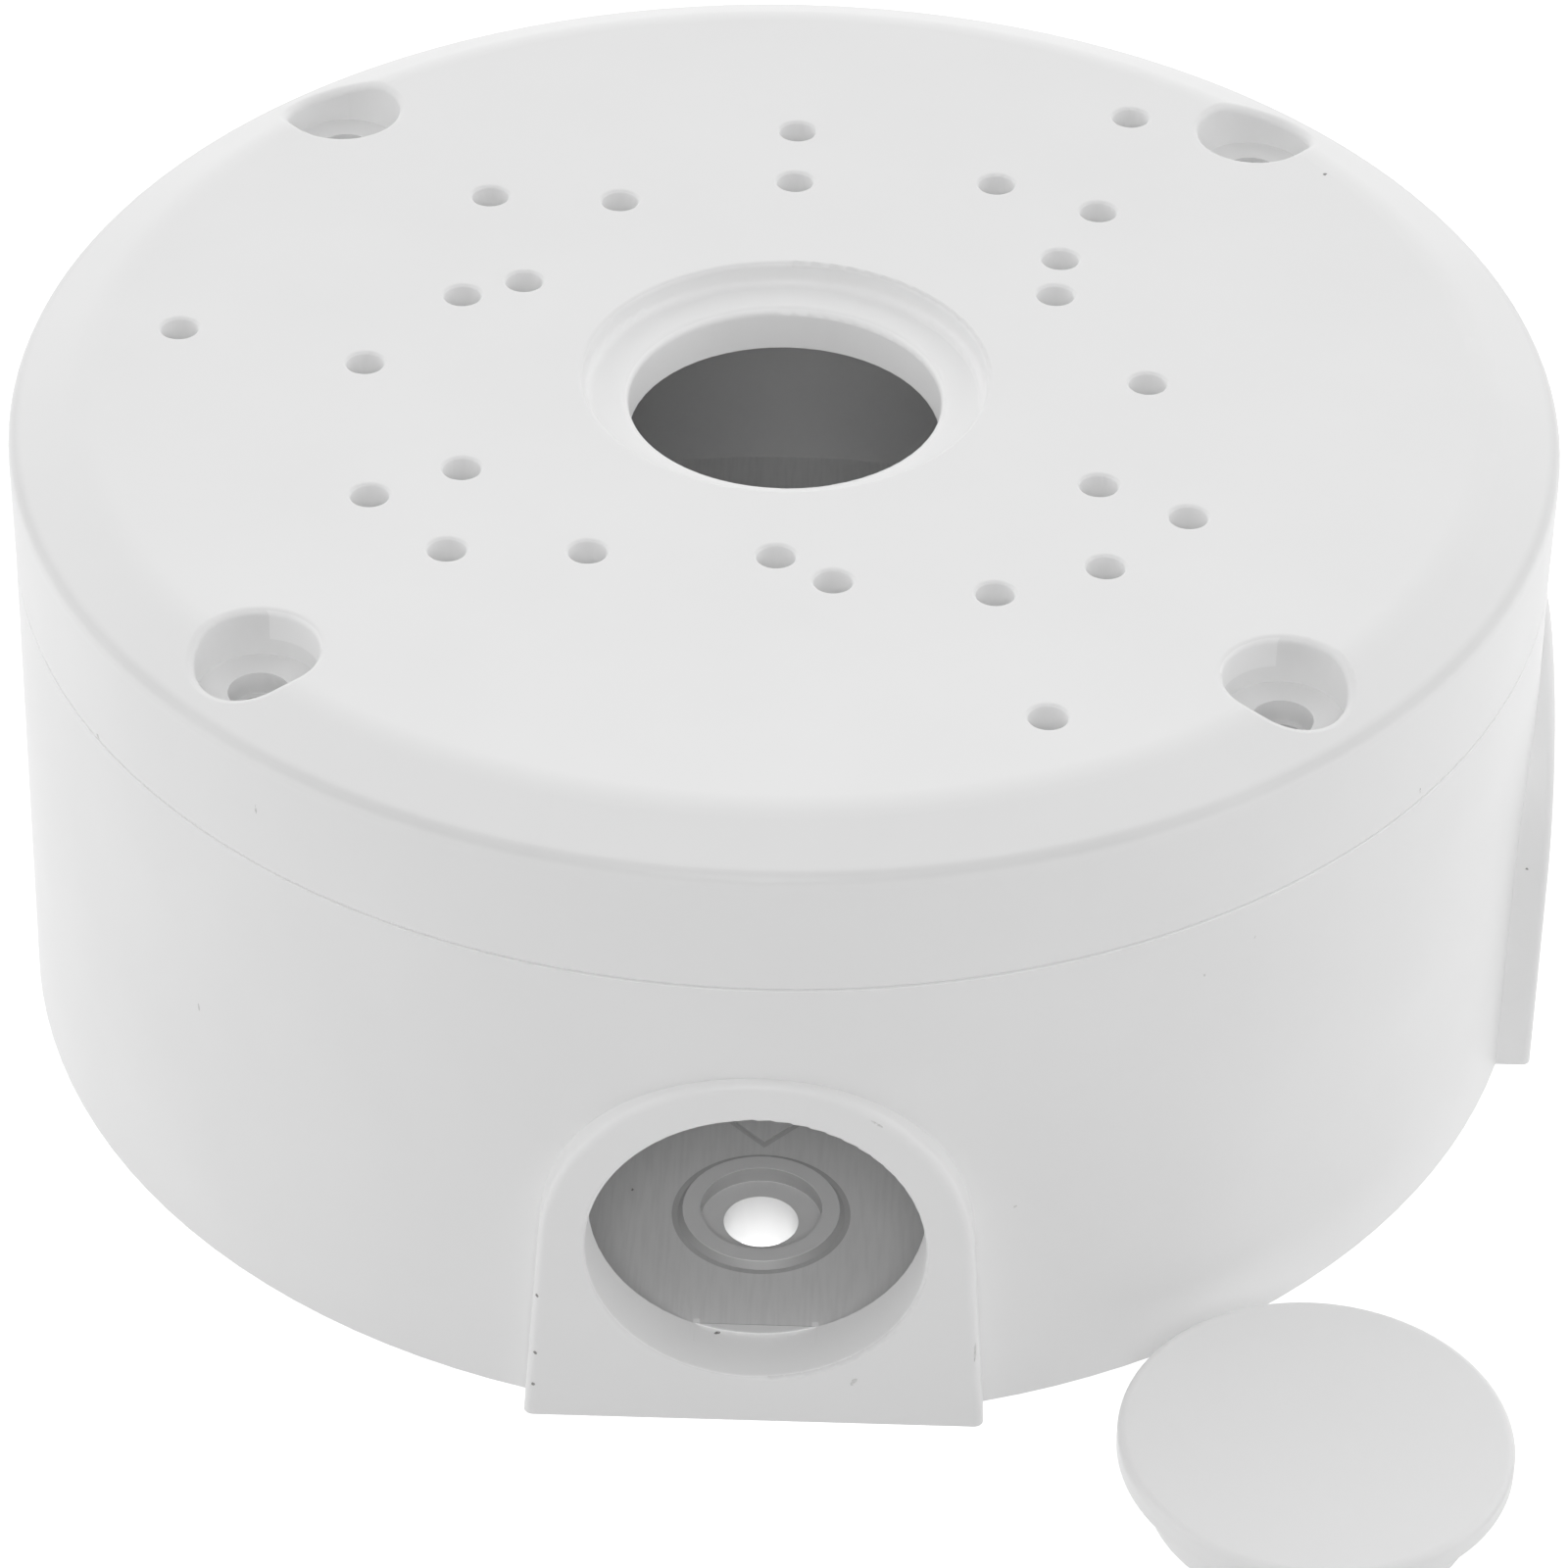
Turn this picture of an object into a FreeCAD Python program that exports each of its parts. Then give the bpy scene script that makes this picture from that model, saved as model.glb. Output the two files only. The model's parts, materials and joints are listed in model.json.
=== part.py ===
import FreeCAD, Part
import math
import os
import re
import Sketcher

# Camera junction box: a round moulded base that screws to a wall, and a lid that a camera is screwed to.
# Millimetres. The wall plane is z = 0, the box stands out along +Z, the front cable port faces -Y
# and the side cable port faces +X. The axis of the box is the Z axis.

SIZES = [
    # the outside of the box
    ("total_height", 60.34, "wall plane to the flat top of the lid"),
    ("lid_height", 14.06, "from the joint between base and lid to the flat top"),
    ("seam_radius", 68.0, "outer radius of base and lid where they meet"),
    ("base_flare", 0.73, "how much wider the base is at the wall plane"),
    # the base
    ("wall", 3.0, "thickness of the round wall of the base"),
    ("floor_top", 5.9, "inner face of the floor"),
    ("floor_thickness", 3.6, "floor plate"),
    ("foot_width", 3.2, "ring that bears on the wall"),
    ("tongue_height", 2.0, "rim that stands up inside the lid"),
    ("lip_width", 1.6, "thin lower edge of the lid, outside the tongue"),
    ("lip_clearance", 0.1, "between tongue and lip"),
    ("seam_gap", 0.12, "open joint between base and lid"),
    ("lid_edge_round", 0.3, "rounding of the lid's lower edge"),
    ("base_edge_round", 0.1, "rounding of the base's edge at the joint"),
    # the cable ports
    ("port_radius", 14.2, "cable port and plug seat"),
    ("port_level", 19.12, "height of the port's axis"),
    ("port_proud", 0.35, "how far the port's flat face stands out past the foot"),
    ("port_border", 3.9, "flat ring between the port and the edge of its boss"),
    ("port_foot_half", 19.5, "half width of the boss at the wall plane"),
    ("port_depth", 5.48, "wall at the port, from its flat face to the flat inner face"),
    ("port_face_round", 0.8, "rounding round the boss's face"),
    ("port_mouth_round", 0.35, "rounding of the port's mouth"),
    # fixing to the wall
    ("wall_screw_inset", 19.33, "from the foot's edge in to a wall screw"),
    ("wall_screw_radius", 3.25, "hole for a wall screw"),
    ("wall_seat_radius", 5.3, "recess for the screw's head"),
    ("wall_seat_level", 5.0, "bottom of that recess"),
    ("wall_ring_radius", 6.8, "raised ring round the recess, at its top"),
    ("wall_ring_height", 0.65, "height of the ring above the floor"),
    ("wall_ring_slope", 35.0, "slope of the ring's outer side, degrees"),
    ("web_width", 2.0, "webs below the floor"),
    # lid screws
    ("lid_screw_inset", 8.1, "from the lid's side in to a lid screw"),
    ("lid_screw_radius", 2.6, "hole in the lid"),
    ("lid_pilot_radius", 2.1, "hole in the pillar"),
    ("lid_pilot_depth", 22.0, "depth of the hole in the pillar"),
    ("pillar_radius", 4.6, "pillar below each lid screw"),
    ("recess_radius", 5.2, "recess for the head of a lid screw"),
    ("recess_depth", 4.55, "from the flat top to the seat of the head"),
    ("recess_floor", 2.1, "thickness below that seat"),
    ("recess_wall", 1.8, "wall round the recess, inside the lid"),
    ("recess_round", 0.6, "rounding of the recess's rim"),
    # the lid
    ("bevel_width", 6.4, "from the lid's side in to where the flat top turns down"),
    ("bevel_drop", 2.74, "from the flat top to the foot of the bevel"),
    ("bevel_soft", 6.0, "rounding between flat top and bevel"),
    ("shoulder_round", 1.5, "rounding between bevel and side"),
    ("lid_plate", 3.0, "thickness of the lid's plate"),
    ("lid_side", 3.0, "thickness of the lid's side"),
    ("bore_radius", 13.75, "cable hole in the middle of the lid"),
    ("bore_round", 0.75, "rounding at the top of the cable hole"),
    ("ledge_width", 3.95, "step round the cable hole, in a wide recess"),
    ("counterbore_depth", 2.3, "depth of that recess"),
    ("counterbore_round", 0.5, "rounding of its top edge"),
    ("counterbore_fillet", 0.8, "rounding at its foot"),
    ("collar_wall", 2.2, "collar round the cable hole"),
    ("collar_length", 0.94, "how far the collar reaches below the hub"),
    ("hub_border", 2.5, "thick plate outside the counterbore"),
    ("hub_reach", 5.5, "from the flat top to the lower face of the hub"),
    ("rib_width", 1.6, "ribs below the lid"),
    ("rib_reach", 7.0, "from the flat top to the lower edge of a rib"),
    # pilot holes for the camera's screws
    ("pilot_radius", 1.65, "pilot hole for a 4 mm screw"),
    ("pilot_boss_radius", 2.75, "boss below the plate round a pilot hole"),
    ("pilot_boss_reach", 7.0, "from the flat top to the lower end of the boss"),
    ("pilot_round", 0.3, "rounding of a pilot hole's mouth"),
    # the rubber ring between base and lid
    ("seal_height", 1.2, "height of the pressed ring"),
    ("seal_clearance", 0.1, "between the ring and the lip"),
    # mark in the floor
    ("mark_gap", 8.7, "from the wall screw's axis to the tip of the pointer"),
    ("mark_arm", 8.0, "how far each arm runs back and out"),
    ("mark_width", 0.8, "width of the line, across the box"),
    ("mark_depth", 0.3, "depth of the line"),
    # plugs for the cable ports
    ("plug_clearance", 0.1, "between a plug and its port"),
    ("plug_draft", 0.2, "how much slimmer the plug is at its end"),
    ("plug_end_gap", 0.5, "between the plug's end and the inner end of the port"),
    ("plug_skirt", 2.6, "thickness of the plug's skirt"),
    ("flange_border", 2.35, "how far the flange reaches past the port"),
    ("flange_thickness", 2.0, "flange and face of the plug"),
    ("flange_round", 0.8, "rounding of the flange's edge"),
    ("plug_rib_width", 2.1, "ribs inside the plug"),
    ("cable_hole_radius", 2.85, "hole for the cable"),
    ("cable_boss_radius", 5.35, "boss round the hole for the cable"),
    ("cable_hole_round", 0.4, "rounding of that hole's ends"),
    ("plug_row_x", 47.0, "first plug of the row, across"),
    ("plug_row_gap", 7.27, "from the foot's edge out to the middle of the row"),
    ("plug_gap", 4.9, "from one plug to the next"),
]

# Sizes that follow from those above, in the words of the table.
FOLLOWING = {
    "seam_level": "total_height - lid_height",
    "foot_radius": "seam_radius + base_flare",
    "port_face": "foot_radius + port_proud",
    "wall_screw_circle": "foot_radius - wall_screw_inset",
    "mark_tip": "wall_screw_circle - mark_gap",
    "lid_screw_circle": "seam_radius - lid_screw_inset",
    "flat_radius": "seam_radius - bevel_width",
    "counterbore_radius": "bore_radius + ledge_width",
    "bore_reach": "hub_reach + collar_length",
    "flange_radius": "port_radius + flange_border",
    "plug_length": "port_depth - plug_end_gap",
    "plug_row_y": "foot_radius + plug_row_gap",
    "plug_spacing": "2 * flange_radius + plug_gap",
}

# Families of pilot holes: radius of the circle, direction of the first hole in degrees, number of holes.
PILOT_FAMILIES = {
    "pilot_a": (53.93, 55.0, 3),
    "pilot_b": (39.22, 45.0, 4),
    "pilot_c": (40.26, 90.0, 3),
    "pilot_d": (31.53, 90.0, 3),
    "pilot_e": (31.75, 0.0, 3),
    "pilot_f": (31.18, 39.0, 3),
    "pilot_g": (27.44, 30.0, 3),
    "pilot_h": (36.90, 60.0, 3),
}

# Things of which the box has a fixed number.
WALL_SCREWS = 4
LID_SCREWS = 4
LID_RIBS = 8
PORTS = 2
QUARTER_TURN = 90.0
DIAGONAL = 45.0
RIB_TURN = 22.5
OVERLAP = 0.2
PAST = 1.0
TOLERANCE = 1e-4
CUBIC_MM_IN_CM = 1000

doc = FreeCAD.newDocument("CameraJunctionBox")
sheet = doc.addObject("Spreadsheet::Sheet", "Sizes")


def fill_sheet():
    """One row for each driving dimension: its name, its value and what it is."""
    rows = list(SIZES)
    for family, (circle, start, count) in PILOT_FAMILIES.items():
        rows.append((family + "_circle", circle, "radius of this circle of pilot holes"))
        rows.append((family + "_start", start, "direction of its first hole, degrees"))
        rows.append((family + "_count", count, "number of its holes"))
    for row, (name, value, meaning) in enumerate(rows, start=1):
        sheet.set(f"A{row}", name)
        sheet.set(f"B{row}", str(value))
        sheet.set(f"C{row}", meaning)
        sheet.setAlias(f"B{row}", name)
    doc.recompute()
    return {name for name, value, meaning in rows}


NAMES = fill_sheet()


def bound(text):
    """The same formula in the sheet's own names, with each following size written out."""
    def in_sheet(match):
        word = match.group()
        if word in FOLLOWING:
            return f"({bound(FOLLOWING[word])})"
        return f"Sizes.{word}" if word in NAMES else word

    return re.sub(r"[a-z_]+", in_sheet, text)


def value(text):
    """The number that a formula gives now."""
    return float(sheet.evalExpression(bound(text)))


def bind(target, prop, text):
    target.setExpression(prop, bound(text))


def new_body(label):
    body = doc.addObject("PartDesign::Body", label)
    body.Label = label
    return body


def origin_feature(body, role):
    return next(item for item in body.Origin.OriginFeatures if item.Role == role)


def new_sketch(body, name, plane="XY_Plane", level="0", turn="0"):
    """An empty sketch on one of the body's own planes, lifted by level and turned in its plane."""
    sketch = body.newObject("Sketcher::SketchObject", name)
    sketch.AttachmentSupport = [(origin_feature(body, plane), "")]
    sketch.MapMode = "FlatFace"
    turned = FreeCAD.Rotation(FreeCAD.Vector(0, 0, 1), value(turn))
    sketch.AttachmentOffset = FreeCAD.Placement(FreeCAD.Vector(0, 0, value(level)), turned)
    bind(sketch, "AttachmentOffset.Base.z", level)
    if turn != "0":
        bind(sketch, "AttachmentOffset.Rotation.Angle", turn)
    return sketch


def pin(sketch, geometry, point, x, y):
    """Ties one point of a sketch to the sketch's origin by two formulas."""
    for kind, text, axis in (("DistanceX", x, -2), ("DistanceY", y, -1)):
        number = value(text)
        if abs(number) < TOLERANCE:
            sketch.addConstraint(Sketcher.Constraint("PointOnObject", geometry, point, axis))
        elif number > 0:
            index = sketch.addConstraint(Sketcher.Constraint(kind, -1, 1, geometry, point, number))
            bind(sketch, f"Constraints[{index}]", text)
        else:
            index = sketch.addConstraint(Sketcher.Constraint(kind, geometry, point, -1, 1, -number))
            bind(sketch, f"Constraints[{index}]", f"-({text})")


def outline(sketch, corners):
    """A closed outline of straight runs through corners given as pairs of formulas."""
    points = [FreeCAD.Vector(value(x), value(y), 0) for x, y in corners]
    count = len(points)
    for index in range(count):
        sketch.addGeometry(Part.LineSegment(points[index], points[(index + 1) % count]), False)
    for index in range(count):
        sketch.addConstraint(Sketcher.Constraint("Coincident", index, 2, (index + 1) % count, 1))
    for index, (x, y) in enumerate(corners):
        pin(sketch, index, 1, x, y)
    return sketch


def circle(sketch, radius, x="0", y="0"):
    centre = FreeCAD.Vector(value(x), value(y), 0)
    index = sketch.addGeometry(Part.Circle(centre, FreeCAD.Vector(0, 0, 1), value(radius)), False)
    if abs(centre.x) < TOLERANCE and abs(centre.y) < TOLERANCE:
        sketch.addConstraint(Sketcher.Constraint("Coincident", index, 3, -1, 1))
    else:
        pin(sketch, index, 3, x, y)
    size = sketch.addConstraint(Sketcher.Constraint("Radius", index, value(radius)))
    bind(sketch, f"Constraints[{size}]", radius)
    return sketch


def finish(body, feature):
    """Closes a feature: it becomes the tip, and it has to be a sound solid."""
    body.Tip = feature
    doc.recompute()
    if "Invalid" in feature.State or "Error" in feature.State or feature.Shape.isNull():
        raise RuntimeError(f"{body.Label}: {feature.Name} failed")
    return feature


def revolve(body, name, sketch):
    feature = body.newObject("PartDesign::Revolution", name)
    feature.Profile = sketch
    feature.ReferenceAxis = (sketch, ["V_Axis"])
    feature.Angle = 360.0
    return finish(body, feature)


def pad(body, name, sketch, length, inward=False):
    feature = body.newObject("PartDesign::Pad", name)
    feature.Profile = sketch
    feature.Length = value(length)
    bind(feature, "Length", length)
    feature.Reversed = inward
    return finish(body, feature)


def pocket(body, name, sketch, length, outward=False):
    """A cut that has to take something away."""
    before = body.Shape.Volume
    feature = body.newObject("PartDesign::Pocket", name)
    feature.Profile = sketch
    feature.Length = value(length)
    bind(feature, "Length", length)
    feature.Reversed = outward
    finish(body, feature)
    if body.Shape.Volume > before - TOLERANCE:
        raise RuntimeError(f"{body.Label}: {name} cuts nothing")
    return feature


def polar(body, name, originals, count, angle="360"):
    feature = body.newObject("PartDesign::PolarPattern", name)
    feature.Originals = originals
    feature.Axis = (origin_feature(body, "Z_Axis"), [""])
    feature.Angle = value(angle)
    feature.Occurrences = int(value(count))
    return finish(body, feature)


def picked(body, test):
    """Names of the edges of the body that pass a test."""
    return [f"Edge{number}" for number, edge in enumerate(body.Shape.Edges, start=1) if test(edge)]


def dress(body, kind, name, size, test):
    """A Fillet or Chamfer of one size on every edge that passes the test."""
    edges = picked(body, test)
    if not edges:
        raise RuntimeError(f"{body.Label}: {name} finds no edge")
    base = body.Tip
    feature = body.newObject("PartDesign::" + kind, name)
    feature.Base = (base, edges)
    prop = "Radius" if kind == "Fillet" else "Size"
    setattr(feature, prop, value(size))
    bind(feature, prop, size)
    return finish(body, feature)


def near(number, text):
    return abs(number - value(text)) < TOLERANCE * 10


def ring_edge(edge, radius, level):
    """True for an edge on the circle of this radius round the Z axis at this level."""
    points = [vertex.Point for vertex in edge.Vertexes] + [edge.valueAt(sum(edge.ParameterRange) / 2)]
    return all(near(math.hypot(p.x, p.y), radius) and near(p.z, level) for p in points)


def at_angle(circle_name, degrees):
    """Formulas for a point on a circle of the sheet, in a direction in degrees."""
    return f"{circle_name} * cos({degrees})", f"{circle_name} * sin({degrees})"


def build_base():
    """The moulded base: round wall and floor, a tongue, two ports, pillars and wall-screw seats."""
    body = new_body("base_housing")
    tongue_outer = "seam_radius - lip_width - lip_clearance"
    tongue_top = "seam_level + tongue_height"
    underside = "floor_top - floor_thickness"
    wall_section = new_sketch(body, "wall_section", "XZ_Plane")
    outline(wall_section, [
        ("foot_radius", "0"),
        ("seam_radius", "seam_level"),
        (tongue_outer, "seam_level"),
        (tongue_outer, tongue_top),
        ("seam_radius - wall", tongue_top),
        ("foot_radius - wall", "floor_top"),
        ("0", "floor_top"),
        ("0", underside),
        ("foot_radius - foot_width", underside),
        ("foot_radius - foot_width", "0"),
    ])
    revolve(body, "round_wall", wall_section)
    build_port_bosses(body)
    dress(body, "Fillet", "joint_edge", "base_edge_round",
          lambda e: ring_edge(e, "seam_radius", "seam_level"))
    build_wall_seats(body)
    build_pillars(body)
    build_mark(body)
    return body


def build_port_bosses(body):
    """An arch-shaped boss round each port, flat on both faces, and the port bored through it."""
    border_radius = "(port_radius + port_border)"
    # the legs leave the arch where they touch its circle and run out to the foot
    span = "(port_foot_half^2 + port_level^2)"
    leg = f"sqrt({span} - {border_radius}^2)"
    across = f"port_foot_half * {border_radius} + port_level * {leg}"
    up = f"port_foot_half * {leg} - port_level * {border_radius}"
    touch_x = f"{border_radius} * ({across}) / {span}"
    touch_z = f"port_level + {border_radius} * ({up}) / {span}"
    sketch = new_sketch(body, "port_arch", "XZ_Plane", "port_face")
    foot, level = value("port_foot_half"), value("port_level")
    right = FreeCAD.Vector(value(touch_x), value(touch_z), 0)
    left = FreeCAD.Vector(-right.x, right.y, 0)
    crown = FreeCAD.Vector(0, level + value(border_radius), 0)
    sketch.addGeometry(Part.LineSegment(FreeCAD.Vector(-foot, 0, 0), FreeCAD.Vector(foot, 0, 0)), False)
    sketch.addGeometry(Part.LineSegment(FreeCAD.Vector(foot, 0, 0), right), False)
    sketch.addGeometry(Part.Arc(right, crown, left), False)
    sketch.addGeometry(Part.LineSegment(left, FreeCAD.Vector(-foot, 0, 0)), False)
    joints = (("Coincident", 0, 1), ("Tangent", 1, 2), ("Tangent", 2, 3), ("Coincident", 3, 0))
    for joint, first, second in joints:
        sketch.addConstraint(Sketcher.Constraint(joint, first, 2, second, 1))
    pin(sketch, 0, 1, "-port_foot_half", "0")
    pin(sketch, 0, 2, "port_foot_half", "0")
    pin(sketch, 2, 3, "0", "port_level")
    size = sketch.addConstraint(Sketcher.Constraint("Radius", 2, value(border_radius)))
    bind(sketch, f"Constraints[{size}]", border_radius)
    boss = pad(body, "port_boss", sketch, "port_depth", inward=True)
    polar(body, "port_bosses", [boss], str(PORTS), str(QUARTER_TURN))
    dress(body, "Fillet", "boss_edges", "port_face_round", boss_edge)
    before_face = new_sketch(body, "port_mouth", "XZ_Plane", f"port_face + {PAST}")
    mouth = circle(before_face, "port_radius", "0", "port_level")
    bore = pocket(body, "port_bore", mouth, f"port_depth + {PAST}")
    polar(body, "port_bores", [bore], str(PORTS), str(QUARTER_TURN))
    dress(body, "Fillet", "mouth_edges", "port_mouth_round", port_mouth_edge)


def port_turns(point):
    """A point seen from each of the two ports: across the face, out of the box, and up."""
    return [(point.x, -point.y, point.z), (point.y, point.x, point.z)]


def in_port_face(edge):
    """True for an edge that lies in the flat face of one port."""
    ends = [vertex.Point for vertex in edge.Vertexes] + [edge.valueAt(sum(edge.ParameterRange) / 2)]
    return any(all(near(port_turns(p)[port][1], "port_face") for p in ends) for port in range(PORTS))


def port_mouth_edge(edge):
    return in_port_face(edge) and len(edge.Vertexes) == 1


def boss_edge(edge):
    """True for an edge round a port's flat face, apart from the lower one, which lies on the wall."""
    return in_port_face(edge) and not all(near(vertex.Z, "0") for vertex in edge.Vertexes)


def build_wall_seats(body):
    """A raised ring, a recess for the screw's head and a hole at each wall screw, with a foot below."""
    at = ("0", "-wall_screw_circle")
    foot = circle(new_sketch(body, "wall_foot"), "wall_ring_radius", *at)
    foot_pad = pad(body, "wall_foot_pad", foot, "floor_top")
    web = new_sketch(body, "web")
    outline(web, [
        ("web_width / 2", "-(foot_radius - foot_width / 2)"),
        ("web_width / 2", "-wall_screw_circle"),
        ("-web_width / 2", "-wall_screw_circle"),
        ("-web_width / 2", "-(foot_radius - foot_width / 2)"),
    ])
    web_pad = pad(body, "web_pad", web, "floor_top - floor_thickness / 2")
    ring_top = new_sketch(body, "wall_ring", level="floor_top + wall_ring_height")
    ring = circle(ring_top, "wall_ring_radius", *at)
    ring_pad = pad(body, "wall_ring_pad", ring, "wall_ring_height + floor_thickness / 4", inward=True)
    ring_pad.TaperAngle = value("wall_ring_slope")
    bind(ring_pad, "TaperAngle", "wall_ring_slope")
    finish(body, ring_pad)
    seat = circle(new_sketch(body, "wall_seat", level=f"floor_top + {PAST}"), "wall_seat_radius", *at)
    seat_cut = pocket(body, "wall_seat_cut", seat, f"floor_top + {PAST} - wall_seat_level")
    hole_start = new_sketch(body, "wall_screw_hole", level=f"floor_top + {PAST}")
    hole = circle(hole_start, "wall_screw_radius", *at)
    hole_cut = pocket(body, "wall_screw_cut", hole, f"floor_top + 2 * {PAST}")
    seat_features = [foot_pad, web_pad, ring_pad, seat_cut, hole_cut]
    polar(body, "wall_screw_seats", seat_features, str(WALL_SCREWS))


def build_pillars(body):
    """A pillar with a pilot hole below each lid screw."""
    at = at_angle("lid_screw_circle", DIAGONAL)
    top = "total_height - recess_depth - recess_floor"
    section = circle(new_sketch(body, "pillar_section", level=f"floor_top - {OVERLAP}"), "pillar_radius", *at)
    pillar = pad(body, "pillar", section, f"{top} - floor_top + {OVERLAP}")
    hole = circle(new_sketch(body, "pillar_hole", level=top), "lid_pilot_radius", *at)
    hole_cut = pocket(body, "pillar_hole_cut", hole, "lid_pilot_depth")
    polar(body, "pillars", [pillar, hole_cut], str(LID_SCREWS))


def build_mark(body):
    """A fine pointer sunk in the floor, its tip towards the front port."""
    back = "(mark_tip - mark_arm)"
    sketch = new_sketch(body, "pointer", level=f"floor_top + {PAST}")
    outline(sketch, [
        ("0", "-mark_tip"),
        ("mark_arm", f"-{back}"),
        ("mark_arm - mark_width", f"-{back}"),
        ("0", "-(mark_tip - mark_width)"),
        ("-(mark_arm - mark_width)", f"-{back}"),
        ("-mark_arm", f"-{back}"),
    ])
    pocket(body, "pointer_cut", sketch, f"{PAST} + mark_depth")


def build_lid():
    """The lid: bevelled plate with a collar in the middle, screw recesses and pilot holes for a camera."""
    body = new_body("lid")
    lip_inner = "seam_radius - lip_width"
    lip_bottom = "seam_level + seam_gap"
    seal_top = "seam_level + tongue_height + seal_height"
    collar_outer = "bore_radius + collar_wall"
    hub_radius = "counterbore_radius + hub_border"
    plate_under = "total_height - lid_plate"
    section = new_sketch(body, "lid_section", "XZ_Plane")
    outline(section, [
        ("seam_radius", lip_bottom),
        ("seam_radius", "total_height - bevel_drop"),
        ("flat_radius", "total_height"),
        ("counterbore_radius", "total_height"),
        ("counterbore_radius", "total_height - counterbore_depth"),
        ("bore_radius", "total_height - counterbore_depth"),
        ("bore_radius", "total_height - bore_reach"),
        (collar_outer, "total_height - bore_reach"),
        (collar_outer, "total_height - hub_reach"),
        (hub_radius, "total_height - hub_reach"),
        (hub_radius, plate_under),
        ("flat_radius - lid_plate / 4", plate_under),
        ("seam_radius - lid_side", f"{plate_under} - bevel_drop * 3 / 4"),
        ("seam_radius - lid_side", seal_top),
        (lip_inner, seal_top),
        (lip_inner, lip_bottom),
    ])
    revolve(body, "lid_shell", section)
    dress(body, "Fillet", "soft_bevel", "bevel_soft", lambda e: ring_edge(e, "flat_radius", "total_height"))
    foot_of_bevel = "total_height - bevel_drop"
    dress(body, "Fillet", "shoulder", "shoulder_round", lambda e: ring_edge(e, "seam_radius", foot_of_bevel))
    dress(body, "Fillet", "joint_edge", "lid_edge_round",
          lambda e: ring_edge(e, "seam_radius", lip_bottom))
    ledge = "total_height - counterbore_depth"
    dress(body, "Fillet", "bore_mouth", "bore_round", lambda e: ring_edge(e, "bore_radius", ledge))
    dress(body, "Fillet", "counterbore_foot", "counterbore_fillet",
          lambda e: ring_edge(e, "counterbore_radius", ledge))
    dress(body, "Fillet", "counterbore_rim", "counterbore_round",
          lambda e: ring_edge(e, "counterbore_radius", "total_height"))
    build_lid_screw_recesses(body)
    build_lid_ribs(body)
    build_pilot_holes(body)
    return body


def build_lid_screw_recesses(body):
    """A cup below the plate at each lid screw, sunk from the top, with a seat and a hole in it."""
    at = at_angle("lid_screw_circle", DIAGONAL)
    cup_bottom = "total_height - recess_depth - recess_floor"
    cup = circle(new_sketch(body, "cup_section", level=cup_bottom), "recess_radius + recess_wall", *at)
    cup_pad = pad(body, "cup", cup, f"recess_depth + recess_floor - lid_plate + {OVERLAP}")
    recess = circle(new_sketch(body, "recess_section", level=f"total_height + {PAST}"), "recess_radius", *at)
    recess_cut = pocket(body, "recess", recess, f"recess_depth + {PAST}")
    hole = circle(new_sketch(body, "screw_section", level="total_height"), "lid_screw_radius", *at)
    hole_cut = pocket(body, "screw_hole", hole, f"recess_depth + recess_floor + {PAST}")
    polar(body, "lid_screw_recesses", [cup_pad, recess_cut, hole_cut], str(LID_SCREWS))
    dress(body, "Fillet", "recess_rims", "recess_round", recess_rim_edge)


def recess_rim_edge(edge):
    """True for an edge round the top of a lid-screw recess, on the flat top or on the bevel."""
    if near(edge.Length, "0"):
        return False
    first, last = edge.ParameterRange
    points = [edge.valueAt(first), edge.valueAt((first + last) / 2), edge.valueAt(last)]
    return all(p.z > value("total_height - bevel_drop") and on_recess_wall(p) for p in points)


def on_recess_wall(point):
    """True for a point at the recess's radius from the nearest lid-screw axis."""
    across = value("lid_screw_circle") * math.cos(math.radians(DIAGONAL))
    return near(math.hypot(abs(point.x) - across, abs(point.y) - across), "recess_radius")


def build_lid_ribs(body):
    """Thin ribs below the plate, from the hub to the side."""
    level = "total_height - rib_reach"
    sketch = new_sketch(body, "rib_section", level=level, turn=str(RIB_TURN))
    inner, outer = "counterbore_radius + hub_border / 2", "seam_radius - lid_side / 2"
    outline(sketch, [
        (inner, "-rib_width / 2"),
        (outer, "-rib_width / 2"),
        (outer, "rib_width / 2"),
        (inner, "rib_width / 2"),
    ])
    rib = pad(body, "rib", sketch, f"rib_reach - lid_plate + {OVERLAP}")
    polar(body, "ribs", [rib], str(LID_RIBS))


def build_pilot_holes(body):
    """Each family of pilot holes, with a boss below the plate round each hole."""
    for family in PILOT_FAMILIES:
        at = at_angle(family + "_circle", family + "_start")
        boss = circle(new_sketch(body, family + "_boss", level="total_height - pilot_boss_reach"),
                      "pilot_boss_radius", *at)
        boss_pad = pad(body, family + "_boss_pad", boss, f"pilot_boss_reach - lid_plate + {OVERLAP}")
        hole = circle(new_sketch(body, family + "_hole", level="total_height"), "pilot_radius", *at)
        hole_cut = pocket(body, family + "_hole_cut", hole, f"pilot_boss_reach + {PAST}")
        polar(body, family + "_all", [boss_pad, hole_cut], family + "_count")
    dress(body, "Fillet", "pilot_mouths", "pilot_round", pilot_mouth_edge)


def pilot_mouth_edge(edge):
    """True for the circle where a pilot hole opens in the flat top."""
    if len(edge.Vertexes) != 1 or not isinstance(edge.Curve, Part.Circle):
        return False
    return near(edge.Curve.Radius, "pilot_radius") and near(edge.Vertexes[0].Z, "total_height")


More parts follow.
